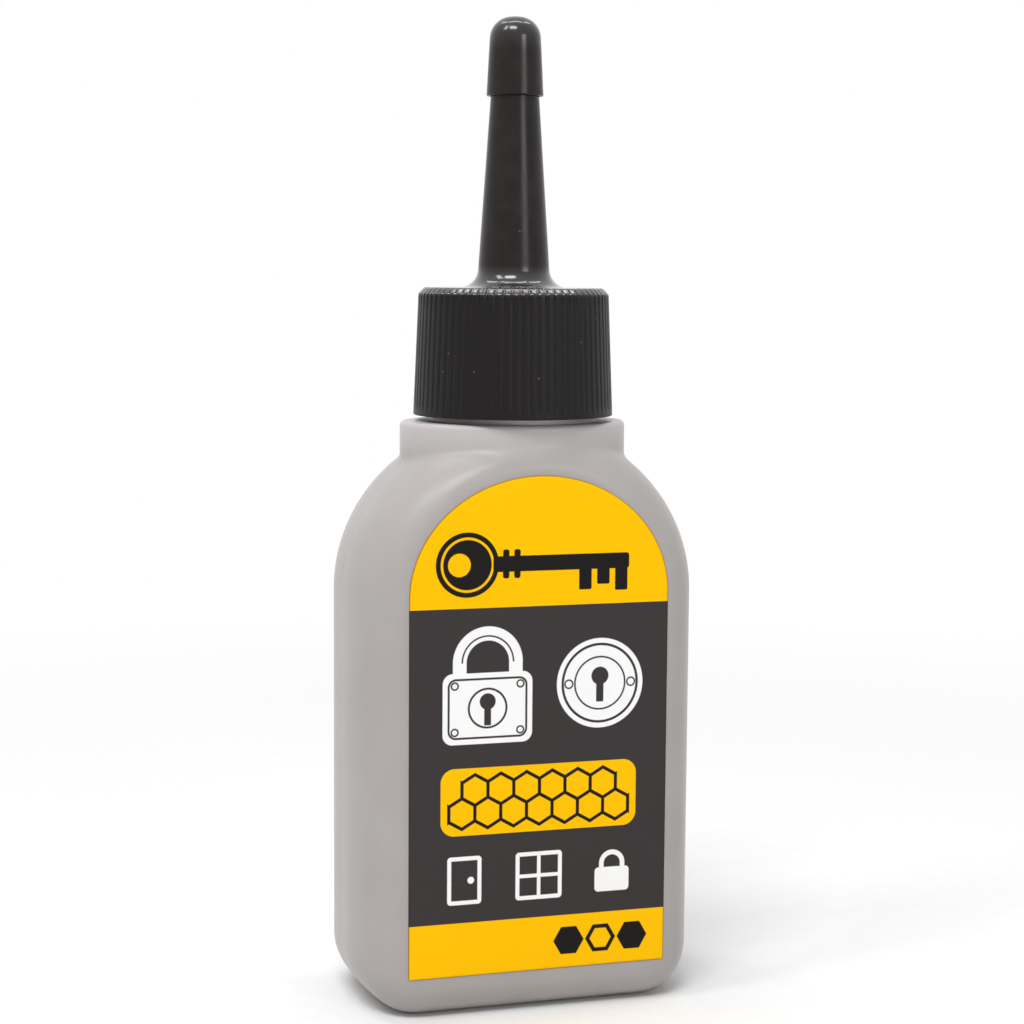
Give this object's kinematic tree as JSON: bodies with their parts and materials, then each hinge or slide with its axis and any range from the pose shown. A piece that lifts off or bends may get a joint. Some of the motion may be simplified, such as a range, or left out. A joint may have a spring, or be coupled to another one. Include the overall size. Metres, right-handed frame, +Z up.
{
  "type": "powder lubricant squeeze bottle",
  "caption": "Flat squeeze bottle with an arched shoulder for dry lock lubricant, with a ribbed screw cap that carries a long tapered nozzle, a push-on tip cap and a front label.",
  "frame": {"origin": "centre of the base, on the surface that the bottle stands on", "axes": "+Z up along the neck and nozzle, -Y out of the labelled front panel, +X across the bottle's width"},
  "size_m": [0.0436, 0.0246, 0.1206],
  "materials": {
    "bottle_plastic": "satin",
    "cap_plastic": "satin",
    "tip_plastic": "satin",
    "label_film": "satin",
    "washer_foam": "matte",
    "powder": "matte"
  },
  "bodies": {
    "bottle": {"bottle": "bottle_plastic", "front_label": "label_film", "graphite_powder": "powder"},
    "seal": {"sealing_washer": "washer_foam"},
    "closure": {"nozzle_cap": "cap_plastic"},
    "tip": {"tip_cap": "tip_plastic"}
  },
  "joints": [
    {"name": "cap_lift", "type": "slide", "parent": "bottle", "child": "seal", "axis": [0, 0, 1], "range_m": [0, 0.00476]},
    {"name": "cap_turn", "type": "hinge", "parent": "seal", "child": "closure", "pos_m": [0, 0, 0.0864], "axis": [0, 0, 1], "range_deg": [0, 540]},
    {"name": "tip_pull", "type": "slide", "parent": "closure", "child": "tip", "axis": [0, 0, 1], "range_m": [0, 0.012]}
  ],
  "couplings": [
    {"joint": "cap_lift", "follows": "cap_turn", "m_per_rad": 0.00050532}
  ]
}
